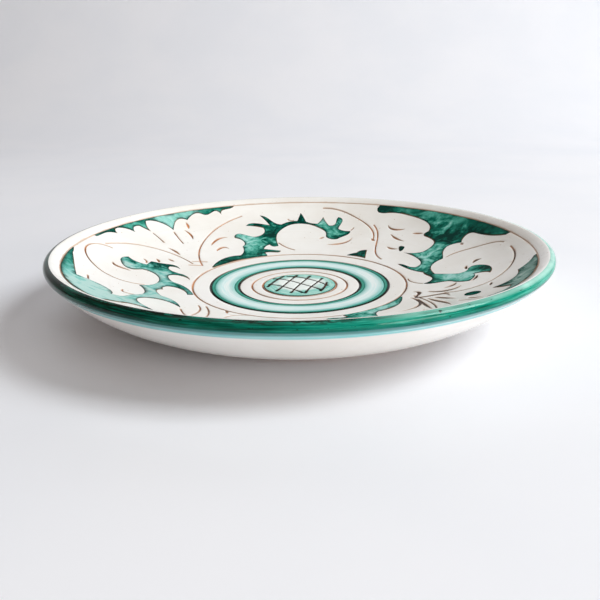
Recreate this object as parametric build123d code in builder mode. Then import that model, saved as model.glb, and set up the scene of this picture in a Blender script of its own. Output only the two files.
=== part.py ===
from build123d import *
import math
import os

os.makedirs("parts", exist_ok=True)

# A hand-thrown, hand-painted earthenware plate.  Millimetres, +Z up, the middle of the plate
# above the origin, and the flat bottom of the foot ring at Z = 0.

# ---- thrown shape ----
rim_crest_radius = 132.0
total_height = 38.5
lip_radius = 3.0
floor_thickness = 7.4
foot_recess = 3.5
foot_height = 4.0
foot_outer_radius = 80.0
foot_width = 9.0
foot_bevel = 0.8
underside_start_angle = 6.0

# ---- coats ----
slip_thickness = 0.6
glaze_thickness = 0.3

# ---- turned lines and bands, as radii ----
inner_line_radius = 0.206 * rim_crest_radius
band_inner_radius = 0.262 * rim_crest_radius
band_outer_radius = 0.383 * rim_crest_radius
scroll_line_radius = 0.459 * rim_crest_radius
rim_line_radius = 0.961 * rim_crest_radius
medallion_line_radius = 0.16 * rim_crest_radius
turned_line_width = 1.0
rim_line_width = 0.6
edge_band_width = 2.2
rim_glaze_share = 0.854
rim_wash_drop = 7.7

# ---- drawn lines ----
thin_line = 0.8
grid_line = 1.1
thick_line = 1.6
brush_gap = 0.15

# ---- shape worked out from the sizes above ----
plan_scale = rim_crest_radius / 132.0
floor_z = foot_recess + floor_thickness
well_depth = total_height - floor_z
floor_edge_radius = 0.227 * rim_crest_radius
bend_radius_from_axis = 0.758 * rim_crest_radius
side_rise = 0.405 * well_depth
side_run = bend_radius_from_axis - floor_edge_radius
side_curve = (side_run**2 + side_rise**2) / (2 * side_rise)
side_centre = Vector(floor_edge_radius, floor_z + side_curve)
side_angle = math.asin(side_run / side_curve)
lip_centre = Vector(rim_crest_radius, total_height - lip_radius)


def aim(angle):
    return Vector(math.cos(angle), math.sin(angle))


def turn_of(vector):
    return math.atan2(vector.Y, vector.X)


# The wall curve leaves the side curve smoothly and touches the lip's circle from inside the well.
bend_point = side_centre + aim(side_angle - math.pi / 2) * side_curve
bend_normal = aim(side_angle + math.pi / 2)
to_lip = bend_point - lip_centre
wall_curve = (to_lip.dot(to_lip) - lip_radius**2) / (2 * (lip_radius - to_lip.dot(bend_normal)))
wall_centre = bend_point + bend_normal * wall_curve
wall_end_angle = turn_of(lip_centre - wall_centre)

# The underside curve starts at the top of the foot and touches the lip's circle from outside.
foot_top = Vector(foot_outer_radius, foot_height)
under_start = math.radians(underside_start_angle) - math.pi / 2
under_normal = aim(under_start + math.pi)
to_lip_under = foot_top - lip_centre
under_curve = (to_lip_under.dot(to_lip_under) - lip_radius**2) / (
    -2 * (lip_radius + to_lip_under.dot(under_normal))
)
under_centre = foot_top + under_normal * under_curve
under_end_angle = turn_of(lip_centre - under_centre)
wash_end_angle = -math.asin((under_centre.Y - (total_height - rim_wash_drop)) / under_curve)
glaze_end_angle = math.pi / 2 - rim_glaze_share * (math.pi / 2 - under_end_angle)


# ---- sections: each curve can be lifted off the finished surface (negative goes into the clay) ----
def bow(centre, radius, start, end):
    middle = (start + end) / 2
    first = centre + aim(start) * radius
    second = centre + aim(middle) * radius
    third = centre + aim(end) * radius
    return ThreePointArc(first, second, third)


def face_curves(lift):
    """The inside of the plate, from the axis to the crest of the lip."""
    Line((0, floor_z + lift), (floor_edge_radius, floor_z + lift))
    bow(side_centre, side_curve - lift, -math.pi / 2, side_angle - math.pi / 2)
    bow(wall_centre, wall_curve - lift, side_angle - math.pi / 2, wall_end_angle)
    bow(lip_centre, lip_radius + lift, wall_end_angle + math.pi, math.pi / 2)


def shell_section(low, high):
    """A coat on the face between two lifts, open at the crest of the lip."""
    face_curves(low)
    face_curves(high)
    Line((0, floor_z + low), (0, floor_z + high))
    crest = lip_centre + Vector(0, lip_radius)
    Line(crest + Vector(0, low), crest + Vector(0, high))


def radial_edge(centre, angle, first, second):
    Line(centre + aim(angle) * first, centre + aim(angle) * second)


# ---- clay ----
clay_lip = lip_radius - slip_thickness
foot_inner_radius = foot_outer_radius - foot_width

with BuildPart() as clay_body:
    with BuildSketch(Plane.XZ) as clay_section:
        with BuildLine():
            face_curves(-slip_thickness)
            bow(lip_centre, clay_lip, math.pi / 2, under_end_angle)
            bow(under_centre, under_curve - slip_thickness, under_end_angle, under_start)
            shoulder = under_centre + aim(under_start) * (under_curve - slip_thickness)
            Polyline(
                shoulder,
                foot_top,
                (foot_outer_radius - foot_bevel, foot_bevel),
                (foot_outer_radius - 2 * foot_bevel, 0),
                (foot_inner_radius + 2 * foot_bevel, 0),
                (foot_inner_radius + foot_bevel, foot_bevel),
                (foot_inner_radius, foot_recess),
                (0, foot_recess),
                (0, floor_z - slip_thickness),
            )
        make_face()
    revolve(axis=Axis.Z)
clay_body.part.label = "clay_body"

# ---- rim glaze: green over the lip, a paler wash under it, white slip below ----
with BuildPart() as rim_glaze:
    with BuildSketch(Plane.XZ):
        with BuildLine():
            bow(lip_centre, clay_lip, math.pi / 2, glaze_end_angle)
            radial_edge(lip_centre, glaze_end_angle, clay_lip, lip_radius)
            bow(lip_centre, lip_radius, glaze_end_angle, math.pi / 2)
            radial_edge(lip_centre, math.pi / 2, lip_radius, clay_lip)
        make_face()
    revolve(axis=Axis.Z)
rim_glaze.part.label = "rim_glaze"

with BuildPart() as under_rim_wash:
    with BuildSketch(Plane.XZ):
        with BuildLine():
            bow(lip_centre, clay_lip, glaze_end_angle, under_end_angle)
            bow(under_centre, under_curve - slip_thickness, under_end_angle, wash_end_angle)
            radial_edge(under_centre, wash_end_angle, under_curve - slip_thickness, under_curve)
            bow(under_centre, under_curve, wash_end_angle, under_end_angle)
            bow(lip_centre, lip_radius, under_end_angle, glaze_end_angle)
            radial_edge(lip_centre, glaze_end_angle, lip_radius, clay_lip)
        make_face()
    revolve(axis=Axis.Z)
under_rim_wash.part.label = "under_rim_wash"

with BuildPart() as back_slip:
    with BuildSketch(Plane.XZ):
        with BuildLine():
            bow(under_centre, under_curve - slip_thickness, wash_end_angle, under_start)
            radial_edge(under_centre, under_start, under_curve - slip_thickness, under_curve)
            bow(under_centre, under_curve, under_start, wash_end_angle)
            radial_edge(under_centre, wash_end_angle, under_curve, under_curve - slip_thickness)
        make_face()
    revolve(axis=Axis.Z)
back_slip.part.label = "back_slip"


# ---- outlines of the painted leaves ----
# Every row below is one stroke of the brush, corner to corner; a row of two points is straight.
# The points are for a rim crest of 132 mm and grow with it.
def outline(rows):
    corner = rows[0][0]
    for row in rows:
        points = [Vector(x, y) * plan_scale for x, y in ([corner] + row if row is not rows[0] else row)]
        if len(points) == 2:
            Line(points[0], points[1])
        else:
            Spline(*points)
        corner = row[-1]


back_leaf_rows = [
    [(-54, 31), (-51.5, 42), (-46, 51), (-38.5, 55.5)],
    [(-36.8, 61), (-37, 66), (-38, 70)],
    [(-37, 75.5), (-39.5, 79.5), (-44, 81)],
    [(-44.5, 84), (-42.5, 87.5), (-38.5, 87.5), (-31, 85.5)],
    [(-26.5, 88.5), (-24.3, 93), (-25.5, 98.5)],
    [(-31, 99.5), (-37.5, 99)],
    [(-35.5, 102), (-29.5, 103.5), (-21, 102.5)],
    [(-24, 107.5), (-28.5, 112.5)],
    [(-22, 110), (-17.5, 105.8), (-12.5, 104)],
    [(-7, 107.5), (-1, 108.5)],
    [(0, 112), (1.5, 117)],
    [(3.8, 112), (5, 107.7)],
    [(8.5, 105.5), (13.5, 104.3)],
    [(15.5, 107), (17.8, 111.5)],
    [(19.5, 106), (21.5, 101)],
    [(26, 102), (27, 105.5), (28.8, 109.5)],
    [(31.5, 106), (29.5, 100), (28, 95.5)],
    [(31, 92.5), (36, 90.7)],
    [(35, 87.5), (31, 84.5), (26.5, 81.5)],
    [(21.5, 82.5), (19, 85.5), (19, 91), (15.5, 97.5), (10.5, 102)],
    [(3, 105), (-5, 104.2), (-12, 98), (-15.3, 90.5), (-15.3, 82), (-14, 74)],
    [(-17.5, 72.8), (-20, 75.5)],
    [(-23, 71.5), (-23.5, 68.3)],
    [(-18, 67.5), (-12.5, 66.5)],
    [(-13, 64), (-18, 63.5), (-22.5, 62)],
    [(-21, 58), (-22, 54)],
    [(-36, 46), (-50, 31), (-54, 31)],
]

right_leaf_rows = [
    [(57, 110), (62, 115)],
    [(95, 92), (128, 44), (128, 20)],
    [(122.5, 20.5)],
    [(118.5, 26), (113, 36), (109.5, 43.5)],
    [(106.5, 45), (103.5, 43), (101, 38)],
    [(98.5, 39.2), (94, 39.8), (91, 37.5)],
    [(88.5, 32), (87.5, 27), (86.5, 22.8)],
    [(82, 20.5), (78.5, 16), (77, 9), (77.5, 1)],
    [(82, -3), (88.5, -8.5)],
    [(92.5, -8), (95, -4)],
    [(98.5, -2.5), (102.5, -6), (104.6, -12), (101.5, -23.5)],
    [(100, -19.5), (97.5, -17.5), (95, -16.5)],
    [(94.5, -20.5), (92.5, -24), (90, -27)],
    [(86, -24.3), (83, -20.5)],
    [(79.5, -16.8), (73, -15.5), (68.5, -12.5)],
    [(72, -10.5), (74.5, -6.5), (73.3, 0), (72, 7.5)],
    [(67, 14.5), (63.5, 21.5), (60.3, 29.8)],
    [(63, 28), (66, 22.5), (69.5, 19)],
    [(73, 22.5), (73.5, 30), (71, 38.5), (66.5, 47)],
    [(71, 43), (77.5, 41.2)],
    [(82.5, 44.5), (86.5, 50.5), (85.5, 57), (82.5, 63)],
    [(83, 66.2), (86, 67.5)],
    [(87.8, 74), (85, 82), (76, 93.5), (65.5, 101.5), (57, 106.5), (57, 110)],
]

left_leaf_rows = [
    [(-104.5, 12), (-104.5, 17), (-102, 20.8)],
    [(-97.5, 17.5), (-90.5, 16.5)],
    [(-90, 20), (-89.3, 23.3)],
    [(-85, 23.8), (-80.5, 24.6)],
    [(-75.5, 25), (-71.5, 20.3)],
    [(-74.5, 22.3), (-78, 21.5)],
    [(-77.5, 17), (-73, 13.5), (-68.5, 12)],
    [(-65, 8.5), (-63.3, 3)],
    [(-68, 8.5), (-72.5, 9), (-76, 5.5)],
    [(-74.5, 0.5), (-71, -4.5)],
    [(-65.5, -8), (-60.5, -15), (-57.3, -22.5)],
    [(-60.5, -24)],
    [(-64.5, -16), (-68.5, -13.3), (-73, -13.5)],
    [(-74.8, -17.5), (-73.8, -20.5)],
    [(-76.3, -23.5), (-75, -29), (-72, -34)],
    [(-66, -38), (-61.5, -45), (-59.2, -52)],
    [(-64, -46), (-69, -42.5), (-76.5, -42.8)],
    [(-80.5, -48), (-78, -57), (-68.5, -69.5)],
    [(-75, -66.5), (-79.5, -65.5), (-83, -69)],
    [(-86, -73), (-87.5, -79), (-79, -90), (-65.5, -101.5), (-57, -106.5)],
    [(-57, -110), (-62, -115)],
    [(-95, -92), (-122, -62), (-129, -22), (-127.5, 2)],
    [(-125.5, -3), (-124.5, -8)],
    [(-120.5, -19), (-116.5, -30), (-112.3, -41)],
    [(-107, -40), (-100.5, -41.3), (-94.5, -46), (-92, -54)],
    [(-88, -52.8), (-86, -47), (-84.5, -42.5)],
    [(-81.3, -38), (-81.3, -31.5), (-86.5, -21.5)],
    [(-81.5, -17), (-79, -8), (-80, -1.5), (-84.5, 5), (-91, 7)],
    [(-94.5, 3.5)],
    [(-98, 3), (-102, 6.5), (-104.5, 12)],
]

back_spray_rows = [
    [(-47.3, 117.3), (-50, 121)],
    [(-88, 100), (-119, 62), (-128, 28)],
    [(-122, 28.5)],
    [(-120.4, 34.5), (-117.8, 41), (-113.8, 44.5)],
    [(-115.8, 47.8), (-112.3, 53.5), (-105.5, 55.5)],
    [(-107.2, 60), (-104.5, 64.3)],
    [(-97, 63.8)],
    [(-100.3, 67.5), (-102, 72.3)],
    [(-98, 76), (-91, 77.5), (-84.5, 74.7)],
    [(-84.8, 82), (-83, 88.5), (-77.5, 90.8)],
    [(-75.5, 96.5), (-72, 100.8), (-68, 101.5)],
    [(-64, 103.5), (-60, 108.3), (-55.5, 106.5)],
    [(-55.5, 110), (-51, 113.5), (-47.3, 117.3)],
]

front_spray_rows = [
    [(47.3, -117.3), (50, -121)],
    [(88, -100), (117, -66), (126, -30)],
    [(121.3, -30)],
    [(117, -35.5), (110.5, -39.5)],
    [(108.5, -46), (103.5, -53), (93.5, -55.5)],
    [(95, -60), (97, -66.5)],
    [(96, -73), (92, -77), (84.5, -75.5)],
    [(84.5, -83), (82, -90), (75, -93)],
    [(68, -100), (60, -107), (47.3, -117.3)],
]

bud_rows = [
    [(30.8, 54.8), (34, 56.8), (37.5, 57.5)],
    [(40.5, 60.2), (44.8, 60)],
    [(43.5, 54), (42.2, 46.5)],
    [(37.5, 51), (30.8, 54.8)],
]

touch_rows = [
    [(64.6, 54), (65.8, 57.3), (68.3, 55.5)],
    [(67.2, 51.5), (65.5, 49.5), (64.6, 54)],
]

berry_centre = Vector(84.5, -54) * plan_scale
berry_sizes = (3.6 * plan_scale, 4.3 * plan_scale)

# ---- drawn lines, scratched through the slip to the clay: points, width, how many (2 = also half a
# turn round, where the front scroll answers the back one) ----
strokes = [
    ([(18, 120.5), (30, 116.5), (41, 106.5), (48.5, 95), (51.3, 84), (49.5, 73)], thin_line, 2),
    ([(52.6, 94), (54.2, 84), (51.5, 67), (49.6, 55), (52, 42)], thin_line, 2),
    ([(-41, 109.5), (-51, 100), (-59, 87), (-63.5, 72), (-65, 57), (-63.5, 44), (-59.8, 32)], thin_line, 2),
    ([(-14.2, 79), (-12, 76), (-8, 71.5), (-3, 68)], thin_line, 2),
    ([(19, 75), (25.5, 74.3), (32, 76), (36.5, 81)], thick_line, 2),
    ([(-116.5, 26), (-109, 36), (-99, 43), (-88, 44.5), (-76, 41), (-66, 33)], thin_line, 1),
    ([(-112, 24.5), (-119, 21.5), (-122.8, 12), (-120.5, 1), (-113, -10), (-103, -17.8), (-93, -20.3), (-84.5, -18)], thin_line, 1),
    ([(88.5, 24), (96, 26.5), (106, 24.8), (114, 21), (119.5, 13.5)], thin_line, 1),
    ([(120.2, 4), (119, -8), (113, -23), (103.5, -34.5), (93, -40.5), (82, -41), (74.5, -36.5)], thin_line, 1),
    ([(-107, 5.5), (-105.3, 2.2), (-101, 1), (-96, 0)], thick_line, 1),
    ([(-94, 24.5), (-92, 22.5), (-91.4, 19.5)], thin_line, 1),
    ([(-87.5, 29.5), (-85.8, 27.5), (-85, 25)], thick_line, 1),
    ([(-8, 110.8), (-6, 109), (-3.5, 109.3)], thin_line, 1),
    ([(36.3, 91.5), (38.8, 94.8)], thin_line, 1),
    ([(14.2, 84), (17.5, 86.2)], thick_line, 1),
    ([(49, 76.5), (51, 72)], thick_line, 1),
    ([(100.5, 37), (101.3, 34.5)], thin_line, 1),
    ([(-49, 81), (-54, 78), (-57, 72.5), (-58.5, 66)], thick_line, 2),
    ([(-46.5, 64.5), (-50, 66), (-53, 62.5), (-54, 59)], thick_line, 1),
    ([(-78, 88), (-76.3, 85), (-75.5, 82)], thick_line, 2),
    ([(-78, 79), (-73.7, 76), (-71, 70)], thick_line, 2),
    ([(-84, 73), (-80, 67), (-76, 61)], thin_line, 2),
    ([(-96, 63.3), (-91.5, 60), (-87.5, 56)], thin_line, 1),
    ([(-84, 50), (-79, 47.3), (-75.5, 43.3)], thick_line, 1),
    ([(-81, 33.5), (-77, 31.3)], thick_line, 1),
    ([(-67, 37), (-58, 39.5)], thin_line, 1),
    ([(-68, 30), (-60, 32.5)], thin_line, 1),
    ([(62.3, 89.5), (64, 84), (68, 80.8), (72.5, 79.5)], thick_line, 1),
    ([(62.5, 77), (65, 70), (69.3, 63.5)], thick_line, 1),
    ([(76, 71.5), (82.5, 67.3)], thick_line, 1),
    ([(57.8, 60.5), (60.5, 56), (64, 54)], thick_line, 1),
    ([(62.3, 1.5), (62.8, -4), (65.3, -8.5), (68.3, -11.6)], thin_line, 1),
    ([(68, -28), (73, -33), (79, -34.2), (84.5, -30.8)], 1.9, 1),
    ([(76.5, -28), (81, -26.5), (84, -22.8)], 1.9, 1),
    ([(90.8, -27.5), (94, -24), (95.8, -19.5)], thick_line, 1),
    ([(94, -4.5), (94.3, -1.5), (95.3, 1.2)], thick_line, 1),
    ([(99.3, 2.4), (101.6, 5.2), (104.8, 4.9)], 2.4, 1),
    ([(57.5, -35), (60, -42), (60, -50), (56.5, -57), (48.5, -61)], thick_line, 1),
    ([(60.8, -39), (61.4, -54), (62, -68)], thick_line, 1),
    ([(65, -41), (67.5, -50), (70, -58), (71, -68)], thick_line, 1),
    ([(68.5, -42), (72, -48), (76.5, -55)], 2.0, 1),
    ([(60.5, -24), (63, -30), (60.5, -36), (67, -37.8), (73, -38.5), (75.5, -45)], 2.0, 1),
    ([(97, -42), (95, -47)], thick_line, 1),
    ([(80.5, -60), (82.5, -65), (85, -69)], thick_line, 1),
    ([(-110, -31.5), (-107.5, -38.5)], thin_line, 1),
    ([(-84.5, -41.3), (-90, -41), (-91, -37)], thin_line, 1),
    ([(-48, -42.5), (-45.3, -52), (-44.6, -67)], thin_line, 1),
    ([(-37, -46), (-36, -54)], thick_line, 1),
    ([(-26, -55.5), (-32.5, -57.5), (-36, -64)], thin_line, 1),
    ([(-58.8, -54), (-56.8, -61), (-54, -68)], thin_line, 1),
]

# The grid scratched in the middle: five steep lines and three across them.
grid_lines = [
    [(-18.2, -4), (-16, 3), (-12.5, 11), (-9.5, 16.5)],
    [(-13.2, -12), (-10, -4), (-6.5, 6), (-2.5, 16), (-1.5, 18.5)],
    [(-5, -15.5), (-1.5, -4), (2.5, 7), (6.3, 16.5)],
    [(3, -16.5), (7, -3), (11, 6), (13.3, 11.5)],
    [(11.3, -13), (14, -5), (15.6, 4)],
    [(-15.5, 11.5), (-9, 10), (-4, 6.5), (2, 0.5), (9, -6.5), (12, -11)],
    [(-7.5, 16), (1, 13.5), (7, 9), (13, 2.5), (15.8, -3)],
    [(-17.8, 0.5), (-12.5, -1), (-7, -5.5), (-1.5, -11), (1.5, -15.5)],
]


def draw(points, width):
    """One scratched line in the current sketch; a thick one swells between two points."""
    places = [Vector(x, y) * plan_scale for x, y in points]
    if len(places) == 2:
        places.insert(1, (places[0] + places[1]) / 2)
    with BuildLine() as path:
        if width > grid_line:
            left = []
            right = []
            for before, here, after in zip(places, places[1:], places[2:]):
                across = (after - before).normalized().rotate(Axis.Z, 90) * width / 2
                left.append(here + across)
                right.insert(0, here - across)
            Spline(places[0], *left, places[-1])
            Spline(places[-1], *right, places[0])
        else:
            Spline(*places)
    if width > grid_line:
        make_face(path.edges())
    else:
        trace(path.edges(), line_width=width)


def ring(inner, outer, mode=Mode.ADD):
    with BuildSketch(Plane.XY, mode=Mode.PRIVATE) as band:
        Circle(outer)
        Circle(inner, mode=Mode.SUBTRACT)
    add(band.sketch, mode=mode)


half_line = turned_line_width / 2
medallion_radius = medallion_line_radius - half_line - brush_gap
leaf_zone_inner = scroll_line_radius + half_line
leaf_zone_outer = rim_line_radius - rim_line_width / 2


def leaf_sketch(rows):
    """A leaf's plan, kept between the scroll line and the rim line."""
    with BuildSketch(Plane.XY) as leaf:
        with BuildLine():
            outline(rows)
        make_face()
        ring(leaf_zone_inner, leaf_zone_outer, mode=Mode.INTERSECT)
    return leaf.sketch


back_leaf_plan = leaf_sketch(back_leaf_rows)
front_leaf_plan = back_leaf_plan.rotate(Axis.Z, 180)
right_leaf_plan = leaf_sketch(right_leaf_rows)
left_leaf_plan = leaf_sketch(left_leaf_rows)
back_spray_plan = leaf_sketch(back_spray_rows)
front_spray_plan = leaf_sketch(front_spray_rows)
bud_plan = leaf_sketch(bud_rows)
touch_plan = leaf_sketch(touch_rows)

with BuildSketch(Plane.XY) as berry:
    with Locations(berry_centre):
        Ellipse(berry_sizes[0], berry_sizes[1], rotation=30)
berry_plan = berry.sketch

leaf_plans = {
    "back_leaf": back_leaf_plan,
    "front_leaf": front_leaf_plan,
    "right_leaf": right_leaf_plan,
    "left_leaf": left_leaf_plan,
    "back_spray": back_spray_plan,
    "front_spray": front_spray_plan,
    "leaf_bud": bud_plan,
    "leaf_touch": touch_plan,
    "berry": berry_plan,
}

# ---- the scratched drawing, left out where glaze fills it ----
with BuildSketch(Plane.XY) as scratched:
    for points, width, copies in strokes:
        draw(points, width)
        if copies == 2:
            draw([(-x, -y) for x, y in points], width)
    ring(leaf_zone_inner + brush_gap, leaf_zone_outer - brush_gap, mode=Mode.INTERSECT)
    for plan in leaf_plans.values():
        add(plan, mode=Mode.SUBTRACT)

with BuildSketch(Plane.XY) as grid:
    for points in grid_lines:
        draw(points, grid_line)

with BuildSketch(Plane.XY) as turned:
    for radius in (
        medallion_line_radius,
        inner_line_radius,
        band_inner_radius,
        band_outer_radius,
        scroll_line_radius,
    ):
        ring(radius - half_line, radius + half_line)
    ring(leaf_zone_outer, leaf_zone_outer + rim_line_width)

# ---- white slip on the face, with every line cut through it ----
with BuildPart() as face_slip:
    with BuildSketch(Plane.XZ):
        with BuildLine():
            shell_section(-slip_thickness, 0)
        make_face()
    revolve(axis=Axis.Z)
    add(extrude(turned.sketch, total_height + 5, mode=Mode.PRIVATE), mode=Mode.SUBTRACT)
    add(extrude(scratched.sketch, total_height + 5, mode=Mode.PRIVATE), mode=Mode.SUBTRACT)
    add(extrude(grid.sketch, total_height + 5, mode=Mode.PRIVATE), mode=Mode.SUBTRACT)
face_slip.part.label = "face_slip"


def painted(plan):
    """A coat of glaze with the given plan, lying on the slip."""
    with BuildPart() as coat:
        with BuildSketch(Plane.XZ):
            with BuildLine():
                shell_section(0, glaze_thickness)
            make_face()
        revolve(axis=Axis.Z)
        add(extrude(plan, total_height + 5, mode=Mode.PRIVATE), mode=Mode.INTERSECT)
    return coat.part


# ---- bands and medallion ----
edge_in = band_inner_radius + half_line + edge_band_width
edge_out = band_outer_radius - half_line - edge_band_width

with BuildSketch(Plane.XY) as band_inner_plan:
    ring(band_inner_radius + half_line, edge_in)
with BuildSketch(Plane.XY) as band_plan:
    ring(edge_in, edge_out)
with BuildSketch(Plane.XY) as band_outer_plan:
    ring(edge_out, band_outer_radius - half_line)
with BuildSketch(Plane.XY) as medallion_plan:
    Circle(medallion_radius)
    add(grid.sketch, mode=Mode.SUBTRACT)

coats = {
    "band_inner_edge": painted(band_inner_plan.sketch),
    "band_wash": painted(band_plan.sketch),
    "band_outer_edge": painted(band_outer_plan.sketch),
    "medallion_wash": painted(medallion_plan.sketch),
}
for name, plan in leaf_plans.items():
    coats[name] = painted(plan)

# ---- export, one file for each separately made layer ----
export_step(clay_body.part, "parts/clay_body.step")
export_step(face_slip.part, "parts/face_slip.step")
export_step(back_slip.part, "parts/back_slip.step")
export_step(rim_glaze.part, "parts/rim_glaze.step")
export_step(under_rim_wash.part, "parts/under_rim_wash.step")
for name, coat in coats.items():
    coat.label = name
    export_step(coat, f"parts/{name}.step")
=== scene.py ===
import math

import bmesh
import bpy
import numpy as np
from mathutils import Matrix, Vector
from mathutils.bvhtree import BVHTree
from mathutils.geometry import delaunay_2d_cdt
from mathutils.kdtree import KDTree


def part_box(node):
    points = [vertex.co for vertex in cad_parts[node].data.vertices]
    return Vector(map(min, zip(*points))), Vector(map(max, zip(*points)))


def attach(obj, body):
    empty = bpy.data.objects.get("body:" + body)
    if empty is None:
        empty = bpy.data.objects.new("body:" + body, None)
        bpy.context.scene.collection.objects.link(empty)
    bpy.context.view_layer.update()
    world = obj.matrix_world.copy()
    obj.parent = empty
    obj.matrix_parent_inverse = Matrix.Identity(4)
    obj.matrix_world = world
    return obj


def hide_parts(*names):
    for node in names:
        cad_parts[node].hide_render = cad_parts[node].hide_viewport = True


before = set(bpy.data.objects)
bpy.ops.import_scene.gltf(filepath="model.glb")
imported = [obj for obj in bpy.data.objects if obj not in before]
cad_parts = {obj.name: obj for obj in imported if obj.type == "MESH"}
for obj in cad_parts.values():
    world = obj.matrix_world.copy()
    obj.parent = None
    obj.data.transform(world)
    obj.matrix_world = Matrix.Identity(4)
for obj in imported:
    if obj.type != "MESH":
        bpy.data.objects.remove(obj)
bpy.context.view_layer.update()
MM = 0.001
rng = np.random.default_rng(7)

# ---------------------------------------------------------------- the plate's profile, in mm
# The same curves as the CAD layers, worked out from their boxes and a few sizes of the plate.
CREST_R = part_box("face_slip")[1].x / MM
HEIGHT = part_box("rim_glaze")[1].z / MM
LIP_R = (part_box("rim_glaze")[1].x / MM) - CREST_R
SLIP = 0.6
FLOOR_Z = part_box("face_slip")[0].z / MM + SLIP
FLOOR_R = 0.227 * CREST_R
BEND_R = 0.758 * CREST_R
RISE = 0.405 * (HEIGHT - FLOOR_Z)
MEDALLION_R = 0.16 * CREST_R
RIM_LINE_R = 0.961 * CREST_R
BAND_LINES = (0.262 * CREST_R, 0.383 * CREST_R)
FOOT_R = 80.0
FOOT_H = 4.0
FOOT_W = 9.0
RECESS = 3.5
UNDER_START = math.radians(6.0)
WASH_DROP = 7.7
GLAZE_SHARE = 0.854

side_run = BEND_R - FLOOR_R
SIDE_CURVE = (side_run**2 + RISE**2) / (2 * RISE)
SIDE_C = np.array([FLOOR_R, FLOOR_Z + SIDE_CURVE])
SIDE_A = math.asin(side_run / SIDE_CURVE)
LIP_C = np.array([CREST_R, HEIGHT - LIP_R])
bend = SIDE_C + SIDE_CURVE * np.array([math.sin(SIDE_A), -math.cos(SIDE_A)])
bend_n = np.array([-math.sin(SIDE_A), math.cos(SIDE_A)])
to_lip = bend - LIP_C
WALL_CURVE = (to_lip @ to_lip - LIP_R**2) / (2 * (LIP_R - to_lip @ bend_n))
WALL_C = bend + WALL_CURVE * bend_n
lip_dir = (LIP_C - WALL_C) / np.linalg.norm(LIP_C - WALL_C)
LIP_START_R = LIP_C[0] - LIP_R * lip_dir[0]
foot_top = np.array([FOOT_R, FOOT_H])
under_n = np.array([-math.sin(UNDER_START), math.cos(UNDER_START)])
lip_to_foot = foot_top - LIP_C
UNDER_CURVE = (lip_to_foot @ lip_to_foot - LIP_R**2) / (-2 * (LIP_R + lip_to_foot @ under_n))
UNDER_C = foot_top + UNDER_CURVE * under_n
UNDER_END = math.atan2(LIP_C[1] - UNDER_C[1], LIP_C[0] - UNDER_C[0])
WASH_END = -math.asin((UNDER_C[1] - (HEIGHT - WASH_DROP)) / UNDER_CURVE)
GLAZE_END = math.pi / 2 - GLAZE_SHARE * (math.pi / 2 - UNDER_END)


def face_z(r):
    """Height of the finished face, and the upward part of its normal, at each radius."""
    r = np.asarray(r, float)
    z = np.full_like(r, FLOOR_Z)
    nz = np.ones_like(r)
    m = (r > FLOOR_R) & (r <= BEND_R)
    a = np.arcsin((r[m] - FLOOR_R) / SIDE_CURVE)
    z[m] = FLOOR_Z + SIDE_CURVE * (1 - np.cos(a))
    nz[m] = np.cos(a)
    m = (r > BEND_R) & (r <= LIP_START_R)
    a = np.arcsin((r[m] - WALL_C[0]) / WALL_CURVE)
    z[m] = WALL_C[1] - WALL_CURVE * np.cos(a)
    nz[m] = np.cos(a)
    m = r > LIP_START_R
    s = np.clip((CREST_R - r[m]) / LIP_R, 0, 1)
    z[m] = LIP_C[1] + LIP_R * np.sqrt(1 - s * s)
    nz[m] = np.sqrt(1 - s * s)
    return z, nz


def on_face(xy, lift):
    """Points above the given plan points, lifted off the finished face; all in mm."""
    r = np.hypot(xy[:, 0], xy[:, 1])
    z, nz = face_z(np.minimum(r, CREST_R))
    return np.column_stack([xy, z + lift / nz])


# ---------------------------------------------------------------- reading a CAD layer's outline
WELD_DIGITS = 3  # decimals of a mm
UPWARD = 0.3  # the least upward part of a face's normal
SHORTEST_LOOP = 5  # points
CLOSEST = 0.12  # mm between outline points
CORNER_DEG = 9.0
EDGE_SAMPLE = 0.25  # mm between the points that distances are measured to
ABOVE_ALL = 5.0  # mm, where rays start
JITTER = 0.08  # of the grid's gap
ROW_SLACK = 0.12  # of a row's offset, by which it may miss its distance from the edge
CROWDED = 0.35  # of the gap along the edge
SLIVER = 1e-7  # square mm


def top_of(node):
    """The upward-facing triangles of a CAD node, in mm, welded."""
    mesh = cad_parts[node].data
    count = len(mesh.vertices)
    co = np.empty(count * 3, np.float32)
    mesh.vertices.foreach_get("co", co)
    co = co.reshape(-1, 3).astype(float) / MM
    mesh.calc_loop_triangles()
    tris = np.empty(len(mesh.loop_triangles) * 3, np.int32)
    mesh.loop_triangles.foreach_get("vertices", tris)
    tris = tris.reshape(-1, 3)
    places = np.round(co, WELD_DIGITS)
    first, inverse = np.unique(places, axis=0, return_index=True, return_inverse=True)[1:]
    inverse = inverse.reshape(-1)
    co = co[first]
    tris = inverse[tris]
    ok = (tris[:, 0] != tris[:, 1]) & (tris[:, 1] != tris[:, 2]) & (tris[:, 0] != tris[:, 2])
    tris = tris[ok]
    normal = np.cross(co[tris[:, 1]] - co[tris[:, 0]], co[tris[:, 2]] - co[tris[:, 0]])
    length = np.linalg.norm(normal, axis=1)
    up = normal[:, 2] > UPWARD * np.maximum(length, 1e-12)
    return co, tris[up]


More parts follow.
